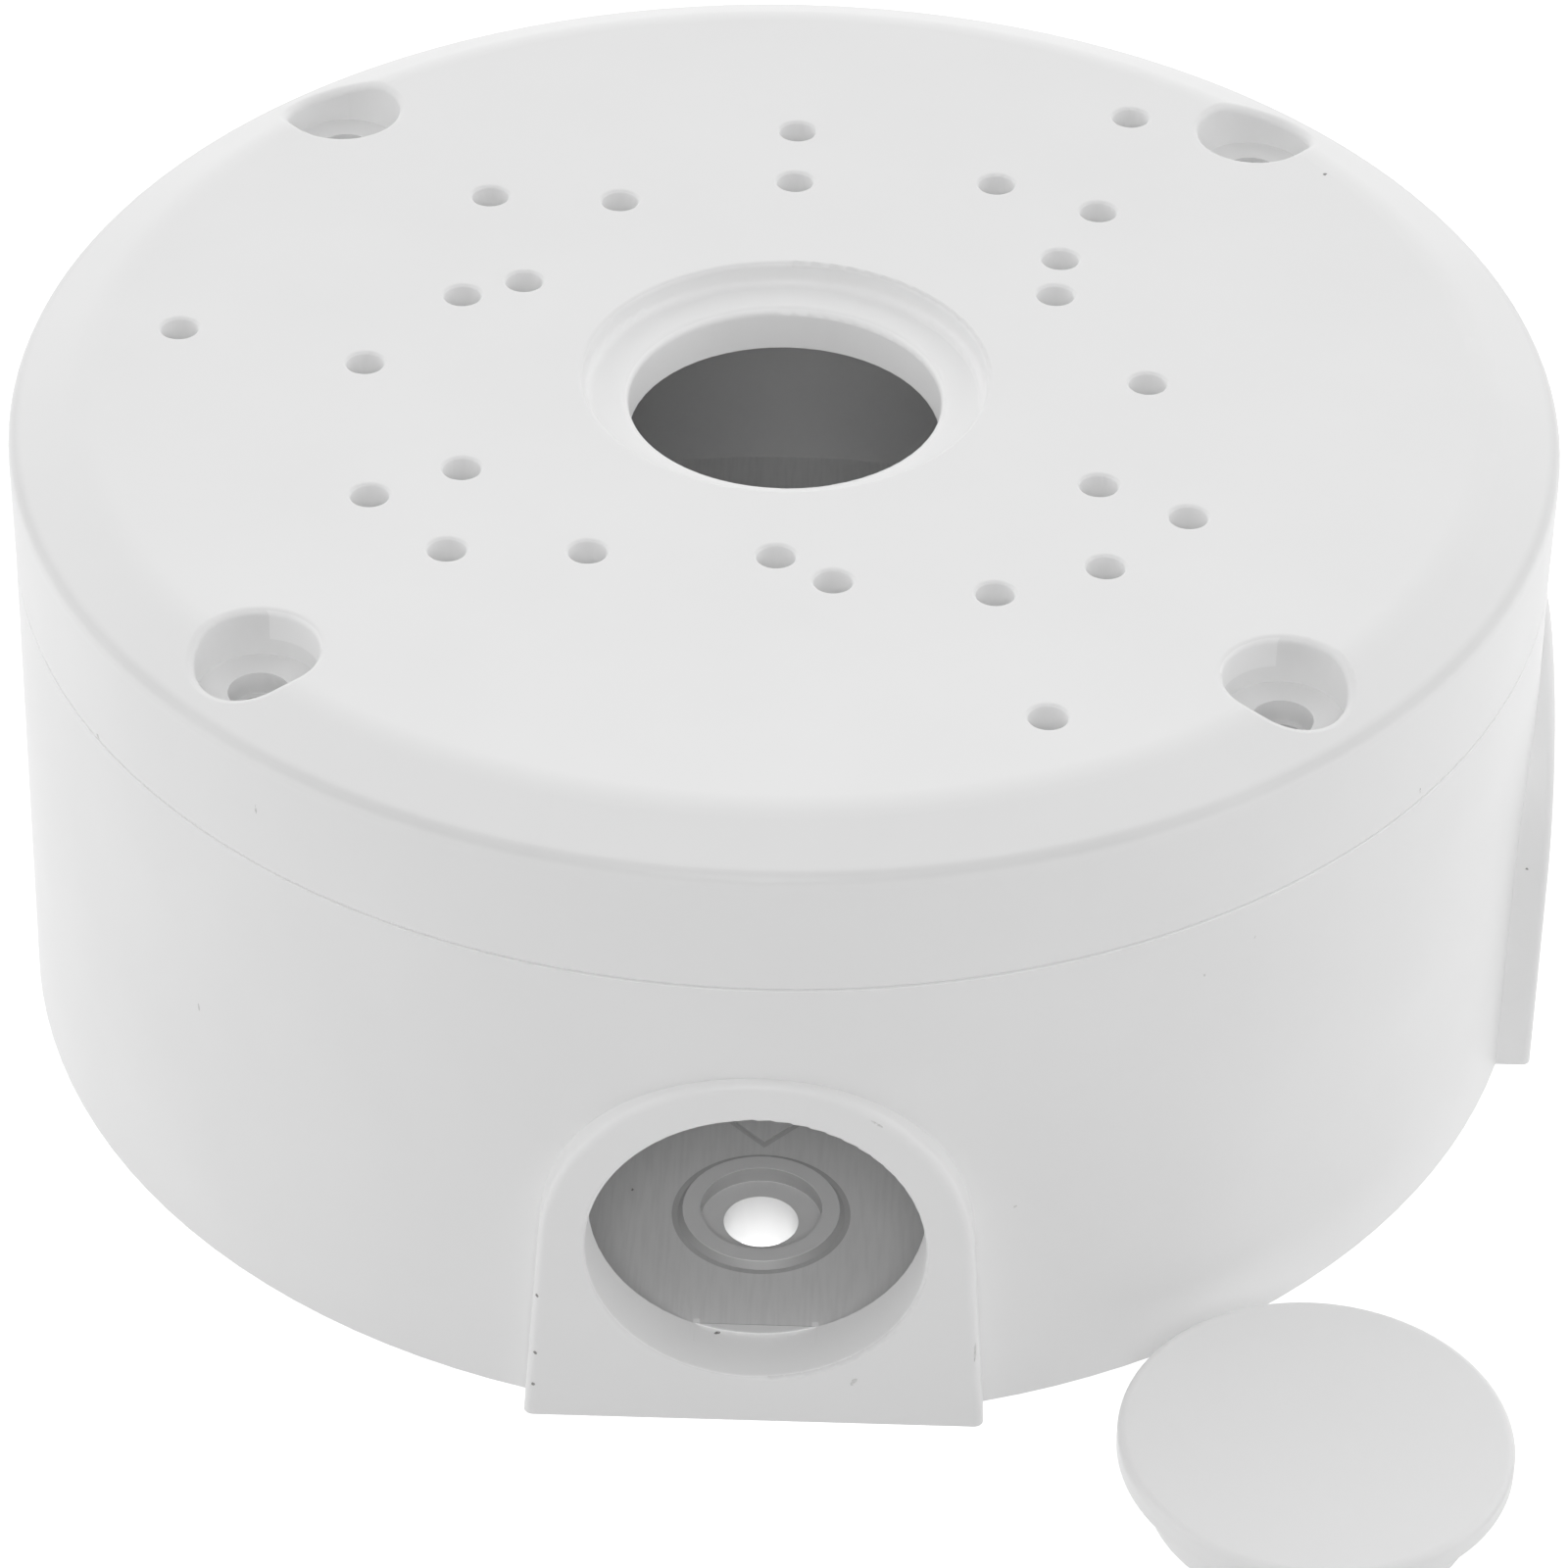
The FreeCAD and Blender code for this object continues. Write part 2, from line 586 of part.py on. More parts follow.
def build_seal():
    """The rubber ring pressed between the tongue of the base and the lid."""
    body = new_body("lid_seal")
    bottom = "seam_level + tongue_height"
    section = new_sketch(body, "seal_section", "XZ_Plane")
    outline(section, [
        ("seam_radius - wall", bottom),
        ("seam_radius - lip_width - seal_clearance", bottom),
        ("seam_radius - lip_width - seal_clearance", f"{bottom} + seal_height"),
        ("seam_radius - wall", f"{bottom} + seal_height"),
    ])
    revolve(body, "ring", section)
    return body


def build_plug(label, place, for_cable, face_up):
    """A plug for a port: flange, skirt and ribs. The seat of the flange is its own z = 0."""
    body = new_body(label)
    root = "port_radius - plug_clearance"
    cavity = "port_radius - plug_clearance - plug_skirt"
    section = new_sketch(body, "plug_section", "XZ_Plane")
    outline(section, [
        ("0", "flange_thickness"),
        ("flange_radius", "flange_thickness"),
        ("flange_radius", "0"),
        (root, "0"),
        (f"{root} - plug_draft", "-plug_length"),
        (cavity, "-plug_length"),
        (cavity, "0"),
        ("0", "0"),
    ])
    revolve(body, "plug_shell", section)
    dress(body, "Fillet", "flange_edge", "flange_round",
          lambda e: ring_edge(e, "flange_radius", "flange_thickness"))
    rib = new_sketch(body, "plug_rib", level="-plug_length")
    half = f"({cavity} + plug_skirt / 4)"
    outline(rib, [
        (f"-{half}", "-plug_rib_width / 2"),
        (half, "-plug_rib_width / 2"),
        (half, "plug_rib_width / 2"),
        (f"-{half}", "plug_rib_width / 2"),
    ])
    rib_pad = pad(body, "plug_rib_pad", rib, f"plug_length + {OVERLAP}")
    polar(body, "plug_ribs", [rib_pad], "2", str(QUARTER_TURN))
    if for_cable:
        boss = circle(new_sketch(body, "cable_boss", level="-plug_length"), "cable_boss_radius")
        pad(body, "cable_boss_pad", boss, f"plug_length + {OVERLAP}")
        hole = circle(new_sketch(body, "cable_hole", level="flange_thickness"), "cable_hole_radius")
        pocket(body, "cable_hole_cut", hole, f"flange_thickness + plug_length + {PAST}")
        for end in ("flange_thickness", "-plug_length"):
            dress(body, "Fillet", "cable_hole_end", "cable_hole_round",
                  lambda e: ring_edge(e, "cable_hole_radius", end))
    turn = FreeCAD.Rotation() if face_up else FreeCAD.Rotation(FreeCAD.Vector(1, 0, 0), 180)
    body.Placement = FreeCAD.Placement(FreeCAD.Vector(), turn)
    bind(body, "Placement.Base.x", f"plug_row_x + {place} * plug_spacing")
    bind(body, "Placement.Base.y", "-plug_row_y")
    bind(body, "Placement.Base.z", "plug_length" if face_up else "flange_thickness")
    doc.recompute()
    return body


def export(bodies):
    """Writes each piece, once every object of the document is sound."""
    doc.recompute()
    for item in doc.Objects:
        if "Invalid" in item.State or "Error" in item.State:
            raise RuntimeError(f"{item.Name} did not build: {item.State}")
    os.makedirs("parts", exist_ok=True)
    for body in bodies:
        shape = body.Shape
        if shape.isNull() or not shape.isValid() or len(shape.Solids) != 1:
            raise RuntimeError(f"{body.Label} is not one sound solid")
        shape.exportStep(f"parts/{body.Label}.step")
        print(f"{body.Label}: {shape.Volume / CUBIC_MM_IN_CM:.2f} cm3")


PLUG_ROW = [
    # name, takes a cable, lies with its face up
    ("blank_plug_1", False, True),
    ("cable_plug_1", True, True),
    ("blank_plug_2", False, False),
    ("cable_plug_2", True, False),
]

pieces = [build_base(), build_lid(), build_seal()]
for place, (label, for_cable, face_up) in enumerate(PLUG_ROW):
    pieces.append(build_plug(label, place, for_cable, face_up))
export(pieces)
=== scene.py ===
# %% [markdown]
# # A camera junction box
#
# This is the round box that stands between a wall and a surveillance camera. It hides the
# camera's cable joints. It has a drilled lid that the camera's foot is screwed to, a wide cable
# hole in the middle, two open ports in its wall, and four loose plugs that close those ports.
#
# The real object is plain: white moulded plastic, with nothing printed on it. A plain object
# is a good lesson, because everything that makes it look real is in three places: the
# roundings of its edges, the finish of its surface, and the light.
#
# The solids come from the frame, at their true size and place. This script gives them their
# finishes, adds the small marks that a mould and a workshop leave on such a part, and lights it.

import json
import math

import bpy
import numpy as np
from mathutils import Matrix, Vector
from mathutils.bvhtree import BVHTree


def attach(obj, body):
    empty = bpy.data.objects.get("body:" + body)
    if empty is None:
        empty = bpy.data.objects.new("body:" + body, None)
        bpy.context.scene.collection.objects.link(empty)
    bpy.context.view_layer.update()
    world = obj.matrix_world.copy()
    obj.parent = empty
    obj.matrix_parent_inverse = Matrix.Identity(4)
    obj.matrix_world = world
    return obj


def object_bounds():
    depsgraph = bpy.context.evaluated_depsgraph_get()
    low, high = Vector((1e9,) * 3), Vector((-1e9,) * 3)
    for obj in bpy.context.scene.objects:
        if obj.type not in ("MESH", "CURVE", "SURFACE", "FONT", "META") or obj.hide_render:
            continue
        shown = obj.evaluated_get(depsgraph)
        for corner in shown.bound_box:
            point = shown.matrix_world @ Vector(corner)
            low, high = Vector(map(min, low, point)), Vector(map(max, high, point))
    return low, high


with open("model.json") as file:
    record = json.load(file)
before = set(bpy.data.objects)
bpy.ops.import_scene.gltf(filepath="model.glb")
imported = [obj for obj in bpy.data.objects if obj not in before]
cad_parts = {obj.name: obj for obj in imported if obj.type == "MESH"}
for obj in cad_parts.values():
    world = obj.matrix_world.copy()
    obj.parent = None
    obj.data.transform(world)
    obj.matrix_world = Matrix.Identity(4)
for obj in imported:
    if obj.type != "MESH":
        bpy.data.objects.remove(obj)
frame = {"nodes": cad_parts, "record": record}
cad_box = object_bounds()
print("nodes:", ", ".join(sorted(frame["nodes"])))

# %% [markdown]
# ## Units and colours
#
# Blender works in metres and the object is measured in millimetres, so every size below is
# written as a number of millimetres times MM. Colours are picked in sRGB, the space of a
# paint chart or a screen, and a shader wants them linear, so one function turns them.

# %% Units and colours
MM = 0.001


def linear(hex_colour):
    """An sRGB colour such as '#E4E4E4' as a linear one, by the formula of the sRGB standard."""
    channels = [int(hex_colour[i:i + 2], 16) / 255 for i in (1, 3, 5)]
    return tuple(c / 12.92 if c <= 0.04045 else ((c + 0.055) / 1.055) ** 2.4 for c in channels) + (1.0,)


print("a mid grey in linear light:", round(linear("#808080")[0], 3))

# %% [markdown]
# ## Sizes that the finishes follow
#
# Some finishes belong to one place on the box, such as the walls of a hole. The frame's record
# says where the ports, the cable hole and the wall screws are, so those places are read from
# it. The few others are written here once.

# %% Sizes of the solids
mounts = {mount["name"]: mount for mount in frame["record"]["mounts"]}
PORT_RADIUS = mounts["front_port"]["dims"]["r_mm"] * MM
PORT_LEVEL = mounts["front_port"]["pos_m"][2]
CABLE_HOLE_RADIUS = mounts["camera_cable_hole"]["dims"]["r_mm"] * MM
SCREW_CIRCLE = mounts["wall_screws"]["dims"]["pcd_mm"] / 2 * MM
LID_TOP = cad_box[1][2]
FLOOR_TOP = 5.9 * MM
PORT_INNER_FACE = 63.6 * MM
STEP_WIDTH = 3.95 * MM
STEP_LEVEL = 58.04 * MM
BEVEL_FOOT = 57.6 * MM
SEAM_RADIUS = 68 * MM
SEAM_LEVEL = 46.31 * MM
print(f"port radius {PORT_RADIUS / MM:.1f} mm, its middle {PORT_LEVEL / MM:.2f} mm up")

# %% [markdown]
# ## A few small helpers
#
# A node tree built in a script gets long. These helpers keep it readable: one adds a node with
# its settings and links, one starts a material, and one gives a solid of the frame its material.

# %% Nodes and materials
# The colour sockets of a Mix node share their names with its number sockets, so they go by place.
MIX_FIRST, MIX_SECOND, MIX_RESULT = 6, 7, 2


def add_node(tree, kind, settings=None, inputs=None):
    """A node with its settings; an input is given a number, a colour or the socket that feeds it."""
    node = tree.nodes.new(kind)
    for name, setting in (settings or {}).items():
        setattr(node, name, setting)
    for name, source in (inputs or {}).items():
        if isinstance(source, bpy.types.NodeSocket):
            tree.links.new(source, node.inputs[name])
        else:
            node.inputs[name].default_value = source
    return node


def new_material(name):
    """An empty material with its output and a Principled shader, and the tree to build in."""
    material = bpy.data.materials.new(name)
    material.use_nodes = True
    tree = material.node_tree
    tree.nodes.clear()
    shader = add_node(tree, "ShaderNodeBsdfPrincipled")
    add_node(tree, "ShaderNodeOutputMaterial", inputs={"Surface": shader.outputs["BSDF"]})
    return material, tree, shader


def dress(node_name, material):
    """Gives one solid of the frame its material."""
    mesh = frame["nodes"][node_name].data
    mesh.materials.clear()
    mesh.materials.append(material)
    print(node_name, "->", material.name, len(mesh.polygons), "faces")


# %% [markdown]
# ## The camera
#
# The photograph was taken with a long lens from about 0.6 m, looking down at 37.6 degrees.
# Its place and lens are worked out from the box itself: two circles of known height, the seam
# and the flat top, fix them. A long lens is given by its focal length in pixels of a
# 1600-pixel frame, and the picture's middle lies a few pixels off the lens axis, which is
# what the camera's shift is for.

# %% Place the camera
FRAME_PIXELS = 1600
SENSOR_WIDTH = 36.0
FOCAL_PIXELS = 6363.7
AXIS_PIXEL = (795.2, 781.8)
CAMERA_PLACE = Vector((9.02, -454.34, 366.23)) * MM
CAMERA_DOWN = math.radians(37.55)
CAMERA_TURN = math.radians(1.137)
CAMERA_ROLL = math.radians(0.8766)
CAMERA_NEAREST = 10 * MM


def place_camera():
    """The photographer's camera, aimed and shifted as the photograph needs."""
    data = bpy.data.cameras.new("photo_camera")
    data.sensor_width = SENSOR_WIDTH
    data.lens = FOCAL_PIXELS / FRAME_PIXELS * SENSOR_WIDTH
    data.shift_x = 0.5 - AXIS_PIXEL[0] / FRAME_PIXELS
    data.shift_y = AXIS_PIXEL[1] / FRAME_PIXELS - 0.5
    data.clip_start = CAMERA_NEAREST
    data.dof.use_dof = False
    camera = bpy.data.objects.new("photo_camera", data)
    bpy.context.scene.collection.objects.link(camera)
    turn = Matrix.Rotation(CAMERA_TURN, 4, "Z")
    tilt = Matrix.Rotation(math.pi / 2 - CAMERA_DOWN, 4, "X")
    roll = Matrix.Rotation(CAMERA_ROLL, 4, "Z")
    camera.matrix_world = Matrix.Translation(CAMERA_PLACE) @ turn @ tilt @ roll
    bpy.context.scene.camera = camera
    return camera


camera = place_camera()
print(f"lens {camera.data.lens:.1f} mm, shift {camera.data.shift_x:.4f} {camera.data.shift_y:.4f}")

# %% [markdown]
# ## Places on the housing
#
# A finish that belongs to one place needs a mask: a value that is 1 there and 0 elsewhere.
# The box is made of circles and levels, so three masks are enough: one is 1 between two
# circles that are seen along an axis, one is 1 between two levels, and one rises softly from
# 0 to 1. Where a place needs several of them, they are multiplied. All are worked out from
# Object coordinates, so they stay on the plastic in every view.

# %% Masks
FROM_ABOVE, FROM_FRONT, FROM_SIDE = (1, 1, 0), (1, 0, 1), (0, 1, 1)
MIDDLE = (0, 0, 0)
PORT_MIDDLE = (0, 0, PORT_LEVEL)


def between(tree, along, levels):
    """1 where a number lies between two levels, in either order, else 0."""
    inputs = {0: along, 1: sum(levels) / 2, 2: abs(levels[1] - levels[0]) / 2}
    return add_node(tree, "ShaderNodeMath", {"operation": "COMPARE"}, inputs).outputs["Value"]


def rising(tree, along, levels):
    """Goes softly from 0 at the first level to 1 at the second."""
    inputs = {"Value": along, "From Min": levels[0], "From Max": levels[1]}
    settings = {"interpolation_type": "SMOOTHSTEP"}
    return add_node(tree, "ShaderNodeMapRange", settings, inputs).outputs["Result"]


def ring(tree, place, view, middle, radii):
    """1 between an inner and an outer circle round a middle, seen along the axis that is 0 in view."""
    shift = [-part * seen for part, seen in zip(middle, view)]
    flat = add_node(tree, "ShaderNodeVectorMath", {"operation": "MULTIPLY_ADD"}, {
        0: place, 1: view, 2: shift})
    away = add_node(tree, "ShaderNodeVectorMath", {"operation": "LENGTH"}, {0: flat.outputs["Vector"]})
    return between(tree, away.outputs["Value"], radii)


def strongest(tree, parts):
    """The largest of several shares, where each counts only in the place that its masks have in common."""
    result = 0.0
    for counted, *masks in parts:
        for mask in masks:
            product = add_node(tree, "ShaderNodeMath", {"operation": "MULTIPLY"}, {0: counted, 1: mask})
            counted = product.outputs["Value"]
        larger = add_node(tree, "ShaderNodeMath", {"operation": "MAXIMUM"}, {0: counted, 1: result})
        result = larger.outputs["Value"]
    return result


# %% [markdown]
# ## Painted glow for light that seeps through the plastic
#
# White plastic isn't quite opaque. Some light seeps through the walls, so the inside of the
# box and the walls of its holes are lighter than paint on metal would be. That light is painted:
# a weak glow on just those walls stands in for it, because scattering the light through the solid
# would double the time of the picture. Inside the box the glow fades away from the two ports. A
# thin band in the joint between base and lid glows as well, and paints its dark line lighter.

# %% Painted glow on the housing's walls
GLOW_INSIDE = 0.026
GLOW_CABLE_HOLE = 0.105
GLOW_STEP = 0.045
GLOW_PILOTS = 0.065
GLOW_PORTS = 0.13
GLOW_SEAM = 0.075
INSIDE_RING = (0, 66.6 * MM)
INSIDE_LEVELS = (0, 40 * MM)
FADE_START, FADE_END = 25 * MM, 50 * MM
CABLE_HOLE_RING = (0, CABLE_HOLE_RADIUS + 0.45 * MM)
CABLE_HOLE_LEVELS = (50 * MM, STEP_LEVEL - 0.14 * MM)
STEP_RING = (0, CABLE_HOLE_RADIUS + STEP_WIDTH + 0.2 * MM)
STEP_LEVELS = (STEP_LEVEL - 1.04 * MM, LID_TOP - 0.14 * MM)
PILOT_RING = (20 * MM, 56 * MM)
PILOT_LEVELS = (57.4 * MM, LID_TOP - 0.14 * MM)
PORT_RING = (PORT_RADIUS - 0.15 * MM, PORT_RADIUS + 0.05 * MM)
PORT_START, PORT_END = PORT_INNER_FACE - 0.6 * MM, 70 * MM
SEAM_RING = (0, SEAM_RADIUS - 0.03 * MM)
SEAM_LEVELS = (SEAM_LEVEL - 0.11 * MM, SEAM_LEVEL + 0.11 * MM)


def painted_glow(tree, place):
    """The strength of the painted glow on each place of the housing."""
    x, y, z = add_node(tree, "ShaderNodeSeparateXYZ", inputs={"Vector": place}).outputs
    inside = ring(tree, place, FROM_ABOVE, MIDDLE, INSIDE_RING)
    low = between(tree, z, INSIDE_LEVELS)
    parts = []
    for along, side, view in ((y, -1, FROM_FRONT), (x, 1, FROM_SIDE)):
        fading = rising(tree, along, (side * FADE_START, side * FADE_END))
        port = ring(tree, place, view, PORT_MIDDLE, PORT_RING)
        parts.append((GLOW_INSIDE, inside, low, fading))
        parts.append((GLOW_PORTS, port, between(tree, along, (side * PORT_START, side * PORT_END))))
    for glow, radii, levels in (
            (GLOW_CABLE_HOLE, CABLE_HOLE_RING, CABLE_HOLE_LEVELS), (GLOW_STEP, STEP_RING, STEP_LEVELS),
            (GLOW_PILOTS, PILOT_RING, PILOT_LEVELS), (GLOW_SEAM, SEAM_RING, SEAM_LEVELS)):
        parts.append((glow, ring(tree, place, FROM_ABOVE, MIDDLE, radii), between(tree, z, levels)))
    return strongest(tree, parts)


print(f"glow of the ports {GLOW_PORTS}, of the cable hole {GLOW_CABLE_HOLE}, of the inside {GLOW_INSIDE}")

# %% [markdown]
# ## Painted shade
#
# Four places are painted darker than the rest, as shade: the steep sides round the seats of the wall
# screws, the sunk line of the pointer in the floor, the sill where the floor ends in a port, and
# a soft line along the lid's shoulder. The painted shade is a share of one grey, and the share is
# cloudy, so that no line looks ruled.

# %% Painted shade on the housing
# Painted shade: this grey darkens the slopes round the screw seats, the pointer's groove, the port sills and
# a line under the lid's shoulder.
PAINTED_SHADE_GREY = linear("#9C9C9C")
PAINTED_SHADE_LEAST = 0.5
SEAT_SHARE = 0.52
SEAT_RING = (0, 7.75 * MM)
SEAT_LEVELS = (5.05 * MM, 6.5 * MM)
GROOVE_SHARE = 0.32
GROOVE_MIDDLE = (0, 12.9 * MM - SCREW_CIRCLE, 0)
GROOVE_RING = (0, 9.5 * MM)
GROOVE_LEVELS = (FLOOR_TOP - 0.4 * MM, FLOOR_TOP - 0.02 * MM)
SILL_SHARE = 0.42
SILL_RING = (0, PORT_RADIUS - 0.05 * MM)
SILL_NEAR, SILL_FAR = PORT_INNER_FACE - 0.1 * MM, PORT_INNER_FACE + 0.1 * MM
SHOULDER_SHARE = 0.14
SHOULDER_RING = (65.6 * MM, 70 * MM)
SHOULDER_START = (BEVEL_FOOT - 0.6 * MM, BEVEL_FOOT - 0.05 * MM)
SHOULDER_END = (BEVEL_FOOT + 0.55 * MM, BEVEL_FOOT + 0.15 * MM)


def painted_shade_mask(tree, place, cloud):
    """How much painted shade each place of the housing gets; a cloud from 0 to 1 makes it uneven."""
    x, y, z = add_node(tree, "ShaderNodeSeparateXYZ", inputs={"Vector": place}).outputs
    mirrored = add_node(tree, "ShaderNodeVectorMath", {"operation": "ABSOLUTE"}, {0: place})
    seat_levels = between(tree, z, SEAT_LEVELS)
    groove = ring(tree, place, FROM_ABOVE, GROOVE_MIDDLE, GROOVE_RING)
    shoulder = ring(tree, place, FROM_ABOVE, MIDDLE, SHOULDER_RING)
    parts = [
        (GROOVE_SHARE, groove, between(tree, z, GROOVE_LEVELS)),
        (SHOULDER_SHARE, shoulder, rising(tree, z, SHOULDER_START), rising(tree, z, SHOULDER_END))]
    for middle in ((SCREW_CIRCLE, 0, 0), (0, SCREW_CIRCLE, 0)):
        seats = ring(tree, mirrored.outputs["Vector"], FROM_ABOVE, middle, SEAT_RING)
        parts.append((SEAT_SHARE, seats, seat_levels))
    for along, side, view in ((y, -1, FROM_FRONT), (x, 1, FROM_SIDE)):
        sill = ring(tree, place, view, PORT_MIDDLE, SILL_RING)
        parts.append((SILL_SHARE, sill, between(tree, along, (side * SILL_NEAR, side * SILL_FAR))))
    cover = add_node(tree, "ShaderNodeMath", {"operation": "ADD"}, {0: cloud, 1: PAINTED_SHADE_LEAST})
    uneven = add_node(tree, "ShaderNodeMath", {"operation": "MULTIPLY"}, {
        0: strongest(tree, parts), 1: cover.outputs["Value"]})
    return uneven.outputs["Value"]


# Painted shade lies on a ring round each wall screw.
print(f"dull ring round each wall screw, {SCREW_CIRCLE / MM:.1f} mm from the middle")

# %% [markdown]
# ## The housing's plastic
#
# The base and the lid are moulded in white ABS. The mould is spark eroded, so the skin is a
# very fine matt grain, about one pixel of this picture, which the eye reads as a soft sheen
# with no sparkle. Two slower changes lie over it: the gloss varies in soft patches where the
# plastic cooled at different speeds, and the white is a little uneven.
#
# The floor inside the base is rougher. The mould was milled there from front to back, and the
# plastic copies the cutter's faint tracks. They are drawn a little wider than real ones, so
# that they show at this size.

# %% White ABS
ABS_WHITE = linear("#F1F1F1")
ABS_SHADED = linear("#EDEDED")
ABS_IOR = 1.53
ABS_ROUGHNESS = (0.38, 0.47)
GRAIN_WIDTH = 0.08 * MM
GRAIN_DEPTH = 0.003 * MM
GRAIN_DETAIL = 2.0
PATCH_WIDTH = 14 * MM
PATCH_DETAIL = 3.0
TRACK_GREY = linear("#E8E8E8")
TRACK_SCALE = (1 / (0.35 * MM), 1 / (5 * MM), 1 / (0.35 * MM))
TRACK_DETAIL = 3.0
TRACK_CONTRAST = (0.35, 0.75)
TRACK_DEPTH = 0.002 * MM
TRACK_RING = (0, 66 * MM)
TRACK_LEVELS = (FLOOR_TOP - 0.05 * MM, FLOOR_TOP + 0.05 * MM)


def cutter_tracks(tree, place):
    """How strong the cutter's tracks are: streaks from front to back, on the floor alone."""
    z = add_node(tree, "ShaderNodeSeparateXYZ", inputs={"Vector": place}).outputs["Z"]
    stretched = add_node(tree, "ShaderNodeMapping", inputs={"Vector": place, "Scale": TRACK_SCALE})
    noise = add_node(tree, "ShaderNodeTexNoise", inputs={
        "Vector": stretched.outputs["Vector"], "Scale": 1.0, "Detail": TRACK_DETAIL})
    streaks = rising(tree, noise.outputs["Fac"], TRACK_CONTRAST)
    floor = ring(tree, place, FROM_ABOVE, MIDDLE, TRACK_RING)
    return strongest(tree, [(streaks, floor, between(tree, z, TRACK_LEVELS))])


def make_abs():
    """White ABS with a spark-eroded skin, painted shade and a painted glow."""
    material, tree, shader = new_material("abs_white_fine_matt")
    place = add_node(tree, "ShaderNodeTexCoord").outputs["Object"]
    grain = add_node(tree, "ShaderNodeTexNoise", inputs={
        "Vector": place, "Scale": 1 / GRAIN_WIDTH, "Detail": GRAIN_DETAIL})
    patch = add_node(tree, "ShaderNodeTexNoise", inputs={
        "Vector": place, "Scale": 1 / PATCH_WIDTH, "Detail": PATCH_DETAIL}).outputs["Fac"]
    tracks = cutter_tracks(tree, place)
    # The patch and the tracks are the plastic's own uneven tone; the third share is painted shade, grey on
    # the screw seats, the pointer's groove, the port sills and under the shoulder.
    painted_shade = painted_shade_mask(tree, place, patch)
    colour = ABS_WHITE
    for share, other in ((patch, ABS_SHADED), (tracks, TRACK_GREY), (painted_shade, PAINTED_SHADE_GREY)):
        colour = add_node(tree, "ShaderNodeMix", {"data_type": "RGBA"}, {
            "Factor": share, MIX_FIRST: colour, MIX_SECOND: other}).outputs[MIX_RESULT]
    gloss = add_node(tree, "ShaderNodeMapRange", inputs={
        "Value": patch, "To Min": ABS_ROUGHNESS[0], "To Max": ABS_ROUGHNESS[1]})
    skin = add_node(tree, "ShaderNodeBump", inputs={"Height": grain.outputs["Fac"], "Distance": GRAIN_DEPTH})
    milled = add_node(tree, "ShaderNodeBump", inputs={
        "Height": tracks, "Distance": TRACK_DEPTH, "Normal": skin.outputs["Normal"]})
    tree.links.new(colour, shader.inputs["Base Color"])
    tree.links.new(gloss.outputs["Result"], shader.inputs["Roughness"])
    tree.links.new(milled.outputs["Normal"], shader.inputs["Normal"])
    # Painted light: a glow on the walls of the holes, inside the box, on the step, in the pilot holes and in
    # the joint.
    tree.links.new(painted_glow(tree, place), shader.inputs["Emission Strength"])
    shader.inputs["Emission Color"].default_value = ABS_WHITE
    shader.inputs["IOR"].default_value = ABS_IOR
    return material


abs_white = make_abs()
for name in ("base_housing", "lid"):
    dress(name, abs_white)

# %% [markdown]
# ## The plugs' plastic
#
# The plugs are moulded in polyethylene, which is softer, so that they give when they are pushed
# in. Its skin is smoother than the housing's, with a low, waxy shine that the eye sees as a
# broad highlight.

# %% White polyethylene
PE_WHITE = linear("#F0F0F0")
PE_IOR = 1.51
PE_ROUGHNESS = (0.30, 0.40)
PE_GRAIN_WIDTH = 0.25 * MM
PE_GRAIN_DEPTH = 0.004 * MM
PE_GRAIN_DETAIL = 2.0


def make_polyethylene():
    """White polyethylene with a waxy skin."""
    material, tree, shader = new_material("polyethylene_white_waxy")
    place = add_node(tree, "ShaderNodeTexCoord").outputs["Object"]
    grain = add_node(tree, "ShaderNodeTexNoise", inputs={
        "Vector": place, "Scale": 1 / PE_GRAIN_WIDTH, "Detail": PE_GRAIN_DETAIL}).outputs["Fac"]
    gloss = add_node(tree, "ShaderNodeMapRange", inputs={
        "Value": grain, "To Min": PE_ROUGHNESS[0], "To Max": PE_ROUGHNESS[1]})
    skin = add_node(tree, "ShaderNodeBump", inputs={"Height": grain, "Distance": PE_GRAIN_DEPTH})
    tree.links.new(gloss.outputs["Result"], shader.inputs["Roughness"])
    tree.links.new(skin.outputs["Normal"], shader.inputs["Normal"])
    shader.inputs["Base Color"].default_value = PE_WHITE
    shader.inputs["IOR"].default_value = PE_IOR
    return material


polyethylene = make_polyethylene()
for name in ("blank_plug_1", "blank_plug_2", "cable_plug_1", "cable_plug_2"):
    dress(name, polyethylene)

# %% [markdown]
# ## The seal's rubber
#
# A ring of black rubber lies in the joint between the base and the lid. Moulded rubber is matt
# and very dark, with a faint grey bloom that takes away its depth.

# %% Black rubber
RUBBER_BLACK = linear("#2A2A2A")
RUBBER_BLOOM = linear("#3A3937")
RUBBER_ROUGHNESS = 0.7
BLOOM_WIDTH = 0.6 * MM
BLOOM_DETAIL = 3.0


def make_rubber():
    """Black rubber with a faint grey bloom."""
    material, tree, shader = new_material("rubber_black_matt")
    place = add_node(tree, "ShaderNodeTexCoord").outputs["Object"]
    bloom = add_node(tree, "ShaderNodeTexNoise", inputs={
        "Vector": place, "Scale": 1 / BLOOM_WIDTH, "Detail": BLOOM_DETAIL}).outputs["Fac"]
    colour = add_node(tree, "ShaderNodeMix", {"data_type": "RGBA"}, {
        "Factor": bloom, MIX_FIRST: RUBBER_BLACK, MIX_SECOND: RUBBER_BLOOM})
    tree.links.new(colour.outputs[MIX_RESULT], shader.inputs["Base Color"])
    shader.inputs["Roughness"].default_value = RUBBER_ROUGHNESS
    return material


dress("lid_seal", make_rubber())

# %% [markdown]
# ## Small marks
#
# The box isn't quite clean. A few dark specks sit in its plastic, and short pale ticks and
# scuffs come from the mould and from handling. The place of each mark is a pixel of the
# photograph: a ray from the camera through that pixel meets the solid, so the mark lies on the
# surface, whatever its shape.

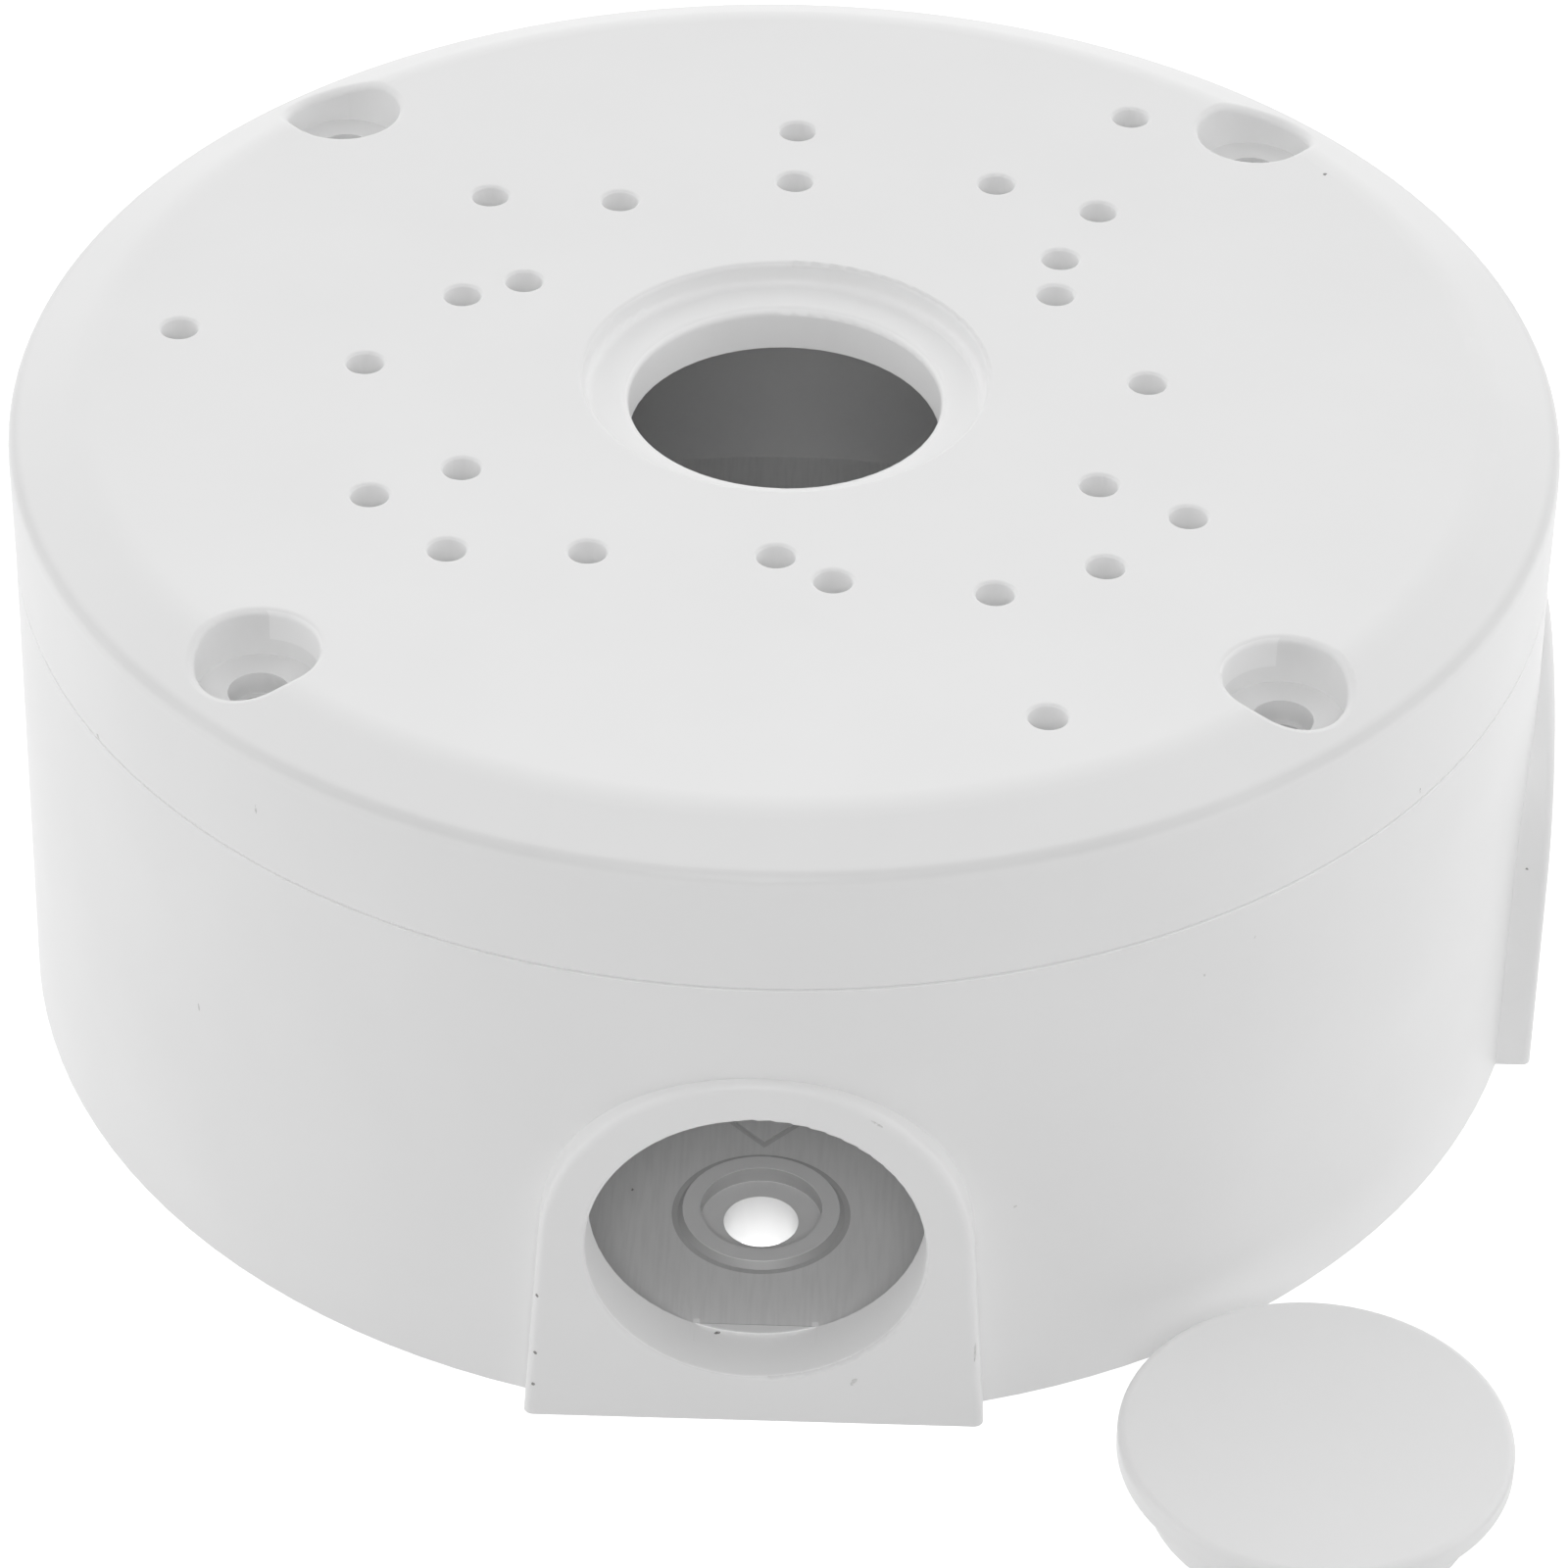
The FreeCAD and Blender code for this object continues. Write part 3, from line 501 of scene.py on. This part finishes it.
# %% Places of the marks
# Each mark: pixel across, pixel down, width and length in mm, lean from upright in degrees.
SPECKS = [
    (1352, 178, 0.42, 0.40, 0),
    (546, 1380, 0.38, 0.28, 70),
    (544, 1412, 0.32, 0.36, 20),
    (548, 1322, 0.36, 0.28, 90),
    (645, 1214, 0.26, 0.30, 0),
    (732, 1360, 0.30, 0.62, 75),
    (1558, 887, 0.28, 0.30, 0),
    (1449, 807, 0.16, 0.60, 4),
]
SCUFFS = [
    (1281, 956, 0.26, 0.36, 0),
    (1229, 995, 0.34, 0.26, 30),
    (100, 751, 0.28, 0.62, -25),
    (261, 826, 0.18, 1.05, -3),
    (203, 1028, 0.20, 0.80, -8),
    (895, 1147, 0.20, 1.25, 120),
    (871, 1410, 0.42, 0.95, 37),
    (1036, 1231, 0.36, 0.28, 0),
    (995, 1380, 0.22, 2.10, 2),
]
FLAKE_THICKNESS = 0.03 * MM


def surface(node_name):
    """The faces of one solid, ready to be met by a ray."""
    mesh = frame["nodes"][node_name].data
    corners = [vertex.co for vertex in mesh.vertices]
    return BVHTree.FromPolygons(corners, [face.vertices for face in mesh.polygons])


def find_place(surfaces, across, down, lean):
    """The point of the box that a pixel shows, and the turn that lays a flake on it."""
    start, turn = camera.matrix_world.translation, camera.matrix_world.to_3x3()
    pixel = Vector((across - AXIS_PIXEL[0], AXIS_PIXEL[1] - down, -FOCAL_PIXELS))
    view = (turn @ pixel).normalized()
    hits = [solid.ray_cast(start, view) for solid in surfaces]
    point, normal = min((hit for hit in hits if hit[0]), key=lambda hit: hit[3])[:2]
    upright = turn @ Vector((math.sin(lean), math.cos(lean), 0))
    along = (upright - view * (upright.dot(normal) / view.dot(normal))).normalized()
    return point, Matrix((along.cross(normal), along, normal)).transposed().to_quaternion()


def place_marks(name, marks):
    """A mesh with one point for each mark, which carries the mark's size and turn."""
    surfaces = [surface("base_housing"), surface("lid")]
    places = [find_place(surfaces, across, down, math.radians(lean)) for across, down, *_, lean in marks]
    mesh = bpy.data.meshes.new(name)
    mesh.from_pydata([point for point, turn in places], [], [])
    sizes = [(width * MM, length * MM, FLAKE_THICKNESS) for *_, width, length, lean in marks]
    mesh.attributes.new("size", "FLOAT_VECTOR", "POINT").data.foreach_set("vector", np.ravel(sizes))
    turns = np.ravel([tuple(turn) for point, turn in places])
    mesh.attributes.new("turn", "QUATERNION", "POINT").data.foreach_set("value", turns)
    piece = bpy.data.objects.new(name, mesh)
    bpy.context.scene.collection.objects.link(piece)
    return piece


specks, scuffs = place_marks("specks", SPECKS), place_marks("scuffs", SCUFFS)
print(len(specks.data.vertices), "specks and", len(scuffs.data.vertices), "scuffs found their places")

# %% [markdown]
# ## Flakes on those places
#
# A mark could be painted by a mask, as the dull places are, but seventeen masks would make the
# plastic slow. A geometry-nodes tree lays a flat flake on each place instead. It takes a round
# ball, flattens and turns it by the sizes and turns that the points carry, and moves its skin
# by a noise, so that no outline is a clean oval. The noise has no random draw: it depends on the
# place alone, so the flakes come out the same each time.

# %% Tree that lays flakes
BALL_RADIUS = 0.5
BALL_LEVELS = 3
NOISE_MIDDLE = (0.5, 0.5, 0.5)
FLAKE_DETAIL = 1.0
FLAKE_UNEVENNESS = 0.12 * MM
FLAKE_WAVE = 0.25 * MM


def make_flake_tree():
    """The tree that turns points into flat, uneven flakes."""
    tree = bpy.data.node_groups.new("flat_flakes", "GeometryNodeTree")
    for name, kind in (("Places", "Geometry"), ("Finish", "Material"),
                       ("Unevenness", "Float"), ("Wave", "Float")):
        tree.interface.new_socket(name, in_out="INPUT", socket_type="NodeSocket" + kind)
    tree.interface.new_socket("Flakes", in_out="OUTPUT", socket_type="NodeSocketGeometry")
    given = add_node(tree, "NodeGroupInput")
    ball = add_node(tree, "GeometryNodeMeshIcoSphere", inputs={
        "Radius": BALL_RADIUS, "Subdivisions": BALL_LEVELS})
    size = add_node(tree, "GeometryNodeInputNamedAttribute", {"data_type": "FLOAT_VECTOR"}, {"Name": "size"})
    turn = add_node(tree, "GeometryNodeInputNamedAttribute", {"data_type": "QUATERNION"}, {"Name": "turn"})
    flakes = add_node(tree, "GeometryNodeInstanceOnPoints", inputs={
        "Points": given.outputs["Places"], "Instance": ball.outputs["Mesh"],
        "Rotation": turn.outputs["Attribute"], "Scale": size.outputs["Attribute"]})
    real = add_node(tree, "GeometryNodeRealizeInstances", inputs={"Geometry": flakes.outputs["Instances"]})
    fineness = add_node(tree, "ShaderNodeMath", {"operation": "DIVIDE"}, {0: 1.0, 1: given.outputs["Wave"]})
    noise = add_node(tree, "ShaderNodeTexNoise", inputs={
        "Scale": fineness.outputs["Value"], "Detail": FLAKE_DETAIL})
    centred = add_node(tree, "ShaderNodeVectorMath", {"operation": "SUBTRACT"},
                       {0: noise.outputs["Color"], 1: NOISE_MIDDLE})
    shift = add_node(tree, "ShaderNodeVectorMath", {"operation": "SCALE"},
                     {0: centred.outputs["Vector"], "Scale": given.outputs["Unevenness"]})
    uneven = add_node(tree, "GeometryNodeSetPosition", inputs={
        "Geometry": real.outputs["Geometry"], "Offset": shift.outputs["Vector"]})
    finished = add_node(tree, "GeometryNodeSetMaterial", inputs={
        "Geometry": uneven.outputs["Geometry"], "Material": given.outputs["Finish"]})
    add_node(tree, "NodeGroupOutput", inputs={"Flakes": finished.outputs["Geometry"]})
    return tree


flake_tree = make_flake_tree()
print(flake_tree.name, len(flake_tree.nodes), "nodes")

# %% [markdown]
# ## The marks' finish
#
# A speck is a grain of dark dust, and a scuff is ABS that was rubbed a little greyer. Both are
# dull. Each is a thin film, so some of the white below shows through it, in clouds.

# %% Dust and scuffed ABS
DUST_GREY = linear("#7A7876")
DUST_THINNESS = 0.35
SCUFF_GREY = linear("#BDBCBA")
SCUFF_THINNESS = 1.0
MARK_ROUGHNESS = 0.7


def make_mark_material(name, colour, thinness):
    """A matt, cloudy material; thinness is how much of the housing shows through it."""
    material, tree, shader = new_material(name)
    place = add_node(tree, "ShaderNodeTexCoord").outputs["Object"]
    cloud = add_node(tree, "ShaderNodeTexNoise", inputs={"Vector": place, "Scale": 1 / FLAKE_WAVE})
    through = add_node(tree, "ShaderNodeMath", {"operation": "MULTIPLY"}, {
        0: cloud.outputs["Fac"], 1: thinness})
    shade = add_node(tree, "ShaderNodeMix", {"data_type": "RGBA"}, {
        "Factor": through.outputs["Value"], MIX_FIRST: colour, MIX_SECOND: ABS_WHITE})
    tree.links.new(shade.outputs[MIX_RESULT], shader.inputs["Base Color"])
    shader.inputs["Roughness"].default_value = MARK_ROUGHNESS
    return material


def lay_flakes(piece, material):
    """Runs the flake tree on a piece's points and keeps the result as a plain mesh."""
    modifier = piece.modifiers.new("flakes", "NODES")
    modifier.node_group = flake_tree
    values = {"Finish": material, "Unevenness": FLAKE_UNEVENNESS, "Wave": FLAKE_WAVE}
    for socket in flake_tree.interface.items_tree:
        if socket.name in values:
            modifier[socket.identifier] = values[socket.name]
    ready = piece.evaluated_get(bpy.context.evaluated_depsgraph_get())
    mesh = bpy.data.meshes.new_from_object(ready)
    piece.modifiers.clear()
    piece.data = mesh
    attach(piece, "root")
    print(piece.name, len(mesh.polygons), "faces")


lay_flakes(specks, make_mark_material("dust_grey", DUST_GREY, DUST_THINNESS))
lay_flakes(scuffs, make_mark_material("scuffed_abs_grey", SCUFF_GREY, SCUFF_THINNESS))

# %% [markdown]
# ## The sheet it stands on
#
# The box was photographed on a sheet of opal acrylic with a lamp below it. So the sheet glows
# a little by itself and also takes the object's shadow, and the shade of a wall doesn't drop
# towards its foot. Under the box the full strength of that lamp shines up through the four
# screw holes and makes their walls white.
#
# To the camera, and in anything that mirrors it, the sheet is plain white: Light Path tells
# those rays from the ones that light the object.

# %% Opal sheet
SHEET_HALF = 1500 * MM
SHEET_COLOUR = linear("#A0A0A0")
SHEET_GLOW = 0.41
SHEET_WHITE = 0.6
SHEET_UNDER = 0.88
UNDER_RING = (0, 60 * MM)


def seen_rays(tree):
    """1 for a ray from the camera, off a gloss or through glass, 0 for one that only carries light."""
    ray = add_node(tree, "ShaderNodeLightPath")
    kinds = ("Is Camera Ray", "Is Glossy Ray", "Is Transmission Ray")
    return strongest(tree, [(ray.outputs[kind],) for kind in kinds])


def make_opal():
    """Opal acrylic that is lit from below."""
    material = bpy.data.materials.new("opal_acrylic_lit_from_below")
    material.use_nodes = True
    tree = material.node_tree
    tree.nodes.clear()
    skin = add_node(tree, "ShaderNodeBsdfDiffuse", inputs={"Color": SHEET_COLOUR})
    place = add_node(tree, "ShaderNodeTexCoord").outputs["Object"]
    under = ring(tree, place, FROM_ABOVE, MIDDLE, UNDER_RING)
    strength = SHEET_GLOW
    for share, more in ((seen_rays(tree), SHEET_WHITE), (under, SHEET_UNDER)):
        strength = add_node(tree, "ShaderNodeMath", {"operation": "MULTIPLY_ADD"}, {
            0: share, 1: more, 2: strength}).outputs["Value"]
    glow = add_node(tree, "ShaderNodeEmission", inputs={"Strength": strength})
    both = add_node(tree, "ShaderNodeAddShader", inputs={
        0: skin.outputs["BSDF"], 1: glow.outputs["Emission"]})
    add_node(tree, "ShaderNodeOutputMaterial", inputs={"Surface": both.outputs["Shader"]})
    return material


def make_sheet():
    """The square sheet that the box stands on."""
    mesh = bpy.data.meshes.new("opal_sheet")
    signs = ((-1, -1), (1, -1), (1, 1), (-1, 1))
    mesh.from_pydata([(SHEET_HALF * x, SHEET_HALF * y, 0) for x, y in signs], [], [(0, 1, 2, 3)])
    mesh.materials.append(make_opal())
    sheet = bpy.data.objects.new("opal_sheet", mesh)
    bpy.context.scene.collection.objects.link(sheet)
    return sheet


sheet = make_sheet()
print(f"{sheet.name}: {2 * SHEET_HALF:.1f} m wide")

# %% [markdown]
# ## The tent
#
# The box stood in a light tent of white cloth. The cloth sends light from all round, more of
# it from behind than from the photographer's side, where the tent is open, and less from
# overhead. A world does the same with one formula of the direction.

# %% Light tent
TENT_EVEN = 0.85
TENT_BACK = 0.72
TENT_TOP = -0.36
WHITE = (1, 1, 1, 1)


def make_tent():
    """The world: a tent for the light that falls on the box, and plain white where it is seen."""
    world = bpy.data.worlds.new("light_tent")
    bpy.context.scene.world = world
    world.use_nodes = True
    tree = world.node_tree
    tree.nodes.clear()
    direction = add_node(tree, "ShaderNodeTexCoord").outputs["Generated"]
    parts = add_node(tree, "ShaderNodeSeparateXYZ", inputs={"Vector": direction}).outputs
    overhead = add_node(tree, "ShaderNodeMath", {"operation": "MULTIPLY"}, {0: parts["Z"], 1: parts["Z"]})
    level = TENT_EVEN
    for share, more in ((parts["Y"], TENT_BACK), (overhead.outputs["Value"], TENT_TOP)):
        level = add_node(tree, "ShaderNodeMath", {"operation": "MULTIPLY_ADD"}, {
            0: share, 1: more, 2: level}).outputs["Value"]
    tent = add_node(tree, "ShaderNodeBackground", inputs={"Color": WHITE, "Strength": level})
    plain = add_node(tree, "ShaderNodeBackground", inputs={"Color": WHITE, "Strength": 1.0})
    mix = add_node(tree, "ShaderNodeMixShader", inputs={
        0: seen_rays(tree), 1: tent.outputs["Background"], 2: plain.outputs["Background"]})
    add_node(tree, "ShaderNodeOutputWorld", inputs={"Surface": mix.outputs["Shader"]})
    return world


bpy.context.scene.view_settings.view_transform = "Standard"
print("world:", make_tent().name)

# %% [markdown]
# ## The lamps
#
# Three square lamps shine through the cloth: one on each side, which make the box's flanks
# lighter than its front, and one beside the camera, which reaches into the holes that the
# camera looks into. A lamp's light is given as a share: 1 would make a white face turned to it
# plain white, so the shares can be weighed against each other and against the tent.

# %% Lamps
LAMP_DISTANCE = 1200 * MM
LAMPS = {
    "lamp_left": {"turn": -80, "rise": 25, "size": 900 * MM, "light": 0.15},
    "lamp_right": {"turn": 80, "rise": 25, "size": 900 * MM, "light": 0.15},
    "lamp_front": {"turn": 0, "rise": 38, "size": 350 * MM, "light": 0.19},
}


def make_lamp(name, turn, rise, size, light):
    """A square lamp that faces the box, turned and raised by degrees from the front."""
    data = bpy.data.lights.new(name, "AREA")
    data.shape = "SQUARE"
    data.size = size
    data.energy = light * math.pi * math.pi * LAMP_DISTANCE ** 2
    lamp = bpy.data.objects.new(name, data)
    bpy.context.scene.collection.objects.link(lamp)
    aim = Matrix.Rotation(math.radians(turn), 4, "Z") @ Matrix.Rotation(math.radians(90 - rise), 4, "X")
    lamp.matrix_world = aim @ Matrix.Translation((0, 0, LAMP_DISTANCE))
    print(name, f"{data.energy:.1f} W")


for name, values in LAMPS.items():
    make_lamp(name, **values)
